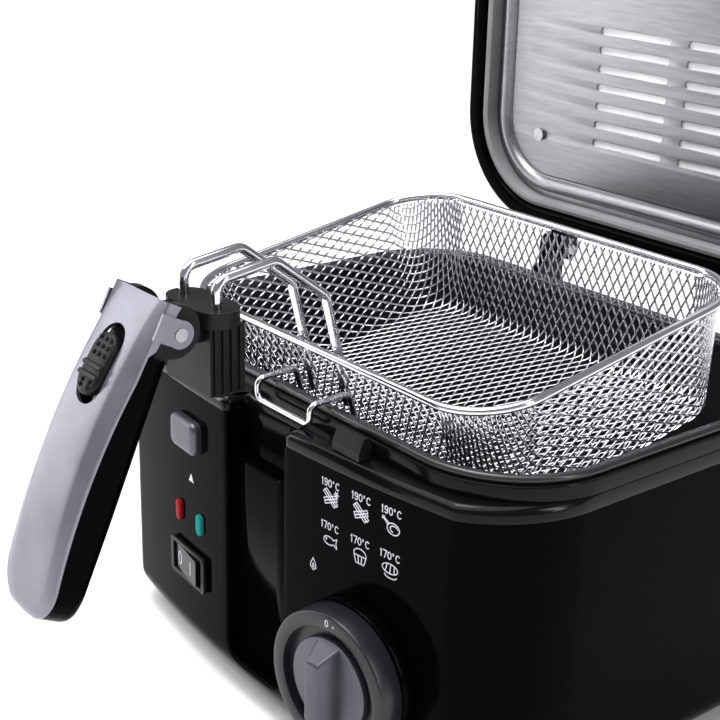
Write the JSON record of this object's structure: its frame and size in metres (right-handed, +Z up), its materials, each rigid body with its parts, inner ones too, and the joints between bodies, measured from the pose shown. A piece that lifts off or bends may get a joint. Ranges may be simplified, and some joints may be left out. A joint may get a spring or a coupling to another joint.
{
  "type": "deep fryer",
  "caption": "Countertop deep fryer: black body with a front control panel, a lidded oil vat, and a chrome wire basket with a folding handle, hung on the vat's lip to drain, lid open.",
  "frame": {"origin": "on the surface the feet stand on, under the middle of the whole fryer's box with the lid open and the basket handle out in front", "axes": "+Z up, +X to the fryer's right as its user faces the front from outside, -Y out of the front with the controls"},
  "size_m": [0.262, 0.383, 0.388],
  "materials": {
    "black_gloss": "glossy",
    "trim_black": "satin",
    "vat_coating": "semi-gloss non-stick",
    "rubber_foot": "matte",
    "screw_steel": "plain",
    "element_steel": "heat-tinted",
    "reflector_alu": "satin",
    "ceramic_white": "matte",
    "copper_bulb": "plain",
    "black_matte": "fine grain",
    "red_lens": "translucent",
    "green_lens": "translucent",
    "board_green": "matte",
    "silver_paint": "satin silver",
    "liner_metal": "satin",
    "seal_grey": "matte",
    "filter_foam": "open foam",
    "chrome_wire": "bright"
  },
  "bodies": {
    "base": {"outer_housing": "black_gloss", "front_panel": "black_gloss", "top_trim": "trim_black", "vat": "vat_coating", "base_plate": "black_matte", "feet": "rubber_foot", "base_screws": "screw_steel", "heating_element": "element_steel", "element_reflector": "reflector_alu", "thermostat": "ceramic_white", "sensor_bulb": "copper_bulb", "thermal_cutout": "black_matte", "terminal_block": "ceramic_white", "mains_gland": "black_matte", "hinge_brackets": "trim_black", "hinge_pins": "screw_steel", "power_switch_frame": "black_matte", "red_lens": "red_lens", "green_lens": "green_lens", "lamp_board": "board_green", "dial_collar": "black_gloss"},
    "rocker": {"power_rocker": "trim_black"},
    "knob": {"dial_drum": "black_gloss", "temperature_knob": "silver_paint", "thermostat_shaft": "screw_steel"},
    "button": {"release_button": "silver_paint"},
    "latch": {"latch_bar": "screw_steel", "latch_catch": "black_matte"},
    "lid": {"lid_outer_shell": "black_gloss", "lid_liner": "liner_metal", "lid_seal": "seal_grey", "lid_knuckles": "trim_black", "lid_screws": "screw_steel", "filter_pad": "filter_foam", "vent_cover": "black_matte"},
    "basket": {"basket_mesh": "chrome_wire", "basket_rim": "chrome_wire", "drain_hook": "chrome_wire", "handle_wires": "chrome_wire", "handle_bracket": "black_matte"},
    "handle": {"handle_top_shell": "silver_paint", "handle_lower_shell": "black_matte", "handle_hub": "black_matte", "handle_ears": "silver_paint", "pivot_pin": "screw_steel", "handle_screws": "screw_steel"},
    "slider": {"handle_slider": "black_matte", "lock_rod": "screw_steel"}
  },
  "joints": [
    {"name": "lid_hinge", "type": "hinge", "parent": "base", "child": "lid", "pos_m": [0, 0.15177, 0.1515], "axis": [1, 0, 0], "range_deg": [0, 35]},
    {"name": "basket_lift", "type": "slide", "parent": "base", "child": "basket", "axis": [0, 0, 1], "range_m": [0, 0.06]},
    {"name": "handle_fold", "type": "hinge", "parent": "basket", "child": "handle", "pos_m": [0.0094, -0.13423, 0.1862], "axis": [-1, 0, 0], "range_deg": [0, 63]},
    {"name": "slider_slide", "type": "slide", "parent": "handle", "child": "slider", "axis": [0, -0.5446, -0.8387], "range_m": [0, 0.0025], "stiffness_N_per_m": 150, "springref_m": -0.006},
    {"name": "rocker_tilt", "type": "hinge", "parent": "base", "child": "rocker", "pos_m": [-0.0517, -0.07899, 0.046], "axis": [0, 0, 1], "range_deg": [0, 12]},
    {"name": "dial_turn", "type": "hinge", "parent": "base", "child": "knob", "pos_m": [0.0645, -0.08125, 0.0497], "axis": [-0.1075, 0.9942, 0], "range_deg": [0, 270]},
    {"name": "button_press", "type": "slide", "parent": "base", "child": "button", "axis": [0.085, 0.9964, 0], "range_m": [0, 0.003], "stiffness_N_per_m": 300, "springref_m": -0.003},
    {"name": "latch_slide", "type": "slide", "parent": "base", "child": "latch", "axis": [0, 1, 0], "range_m": [0, 0.002]}
  ],
  "couplings": [
    {"joint": "latch_slide", "follows": "button_press", "ratio": 0.6666}
  ]
}
